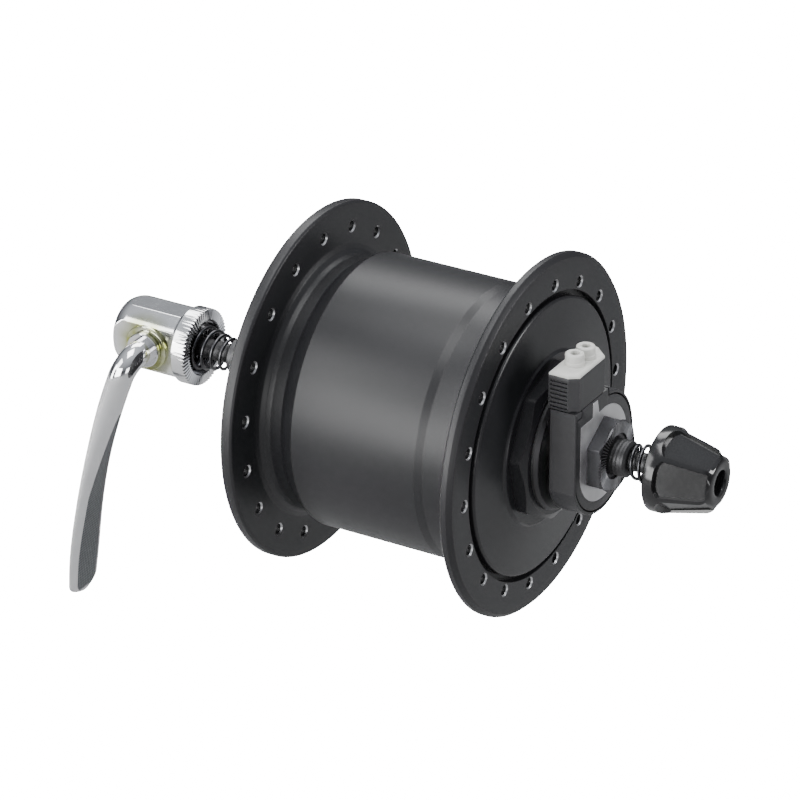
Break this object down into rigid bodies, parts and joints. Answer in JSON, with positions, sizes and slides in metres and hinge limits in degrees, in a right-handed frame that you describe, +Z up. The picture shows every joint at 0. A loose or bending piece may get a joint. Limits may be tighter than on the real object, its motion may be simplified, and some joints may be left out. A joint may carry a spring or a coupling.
{
  "type": "hub dynamo",
  "caption": "Front bicycle wheel hub with a claw-pole generator inside, a two-wire plug at one end and a quick release through its hollow axle.",
  "frame": {"origin": "middle of the axle, halfway between the two faces that the fork ends bear on", "axes": "+Y along the axle towards the quick release lever, -Y towards the plug, +X forward, +Z up, square to the plug's shelf"},
  "size_m": [0.09, 0.173, 0.1143],
  "materials": {
    "satin_black": "satin black coating over turned aluminium",
    "black_plastic": "fine moulded texture",
    "grey_plastic": "plain moulded",
    "gloss_black_plastic": "glossy moulded",
    "chrome": "polished plating on steel",
    "dark_steel": "dark zinc plated",
    "bright_steel": "bright zinc plated",
    "spring_steel": "blackened wire",
    "iron": "pressed soft iron",
    "magnet": "sintered ferrite",
    "copper": "enamelled copper wire",
    "brass": "plain brass"
  },
  "bodies": {
    "axle_group": {"axle": "dark_steel", "left_cone": "dark_steel", "right_cone": "dark_steel", "left_washer": "dark_steel", "left_locknut": "dark_steel", "right_locknut": "dark_steel", "left_spacer": "bright_steel", "stator_core": "iron", "coil_bobbin": "grey_plastic", "coil_winding": "copper", "claw_pole_left": "iron", "claw_pole_right": "iron", "stator_nut": "bright_steel", "coil_lead": "copper", "terminal_housing": "black_plastic", "terminal_panel": "black_plastic", "terminal_blades": "brass", "ground_plate": "bright_steel"},
    "shell": {"hub_shell": "satin_black", "end_cap": "satin_black", "magnet_yoke": "iron", "magnets": "magnet", "left_bearing_cup": "bright_steel", "right_bearing_cup": "bright_steel", "left_dust_seal": "bright_steel", "right_dust_seal": "bright_steel"},
    "left_cage": {"left_balls": "bright_steel", "left_ball_cage": "bright_steel"},
    "right_cage": {"right_balls": "bright_steel", "right_ball_cage": "bright_steel"},
    "plug": {"plug_cap": "black_plastic"},
    "insert": {"wire_insert": "grey_plastic"},
    "spring_left": {"left_spring": "spring_steel"},
    "skewer": {"skewer_rod": "dark_steel"},
    "cam_body": {"cam_housing": "chrome"},
    "lever": {"cam_lever": "chrome", "lever_nut": "chrome"},
    "spring_right": {"right_spring": "spring_steel"},
    "hand_nut": {"nut_grip": "gloss_black_plastic", "nut_insert": "brass"}
  },
  "joints": [
    {"name": "shell_spin", "type": "hinge", "parent": "axle_group", "child": "shell", "pos_m": [0, 0, 0], "axis": [0, 1, 0], "continuous": true},
    {"name": "left_cage_spin", "type": "hinge", "parent": "axle_group", "child": "left_cage", "pos_m": [0, 0.031, 0], "axis": [0, 1, 0], "continuous": true},
    {"name": "right_cage_spin", "type": "hinge", "parent": "axle_group", "child": "right_cage", "pos_m": [0, -0.031, 0], "axis": [0, 1, 0], "continuous": true},
    {"name": "plug_lift", "type": "slide", "parent": "axle_group", "child": "plug", "axis": [0, 0, 1], "range_m": [0, 0.012]},
    {"name": "insert_lift", "type": "slide", "parent": "plug", "child": "insert", "axis": [0, 0, 1], "range_m": [0, 0.009]},
    {"name": "skewer_float", "type": "slide", "parent": "axle_group", "child": "spring_left", "axis": [0, 1, 0], "range_m": [-0.008, 0.005], "stiffness_N_per_m": 800, "deforming": ["left_spring", "right_spring"]},
    {"name": "skewer_turn", "type": "hinge", "parent": "spring_left", "child": "skewer", "pos_m": [0, 0, 0], "axis": [0, 1, 0], "continuous": true},
    {"name": "cam_pull", "type": "slide", "parent": "skewer", "child": "cam_body", "axis": [0, 1, 0], "range_m": [0, 0.002]},
    {"name": "lever_swing", "type": "hinge", "parent": "cam_body", "child": "lever", "pos_m": [0, 0.078, 0], "axis": [1, 0, 0], "range_deg": [0, 180]},
    {"name": "nut_advance", "type": "slide", "parent": "skewer", "child": "spring_right", "axis": [0, 1, 0], "range_m": [-0.0032, 0.0056], "deforming": ["right_spring"]},
    {"name": "nut_turn", "type": "hinge", "parent": "spring_right", "child": "hand_nut", "pos_m": [0, -0.07, 0], "axis": [0, 1, 0], "range_deg": [-1440, 2520]}
  ],
  "couplings": [
    {"joint": "left_cage_spin", "follows": "shell_spin", "ratio": 0.5794},
    {"joint": "right_cage_spin", "follows": "shell_spin", "ratio": 0.5794},
    {"joint": "cam_pull", "follows": "lever_swing", "m_per_rad": 0.00063662},
    {"joint": "nut_advance", "follows": "nut_turn", "m_per_rad": 0.00012732}
  ]
}
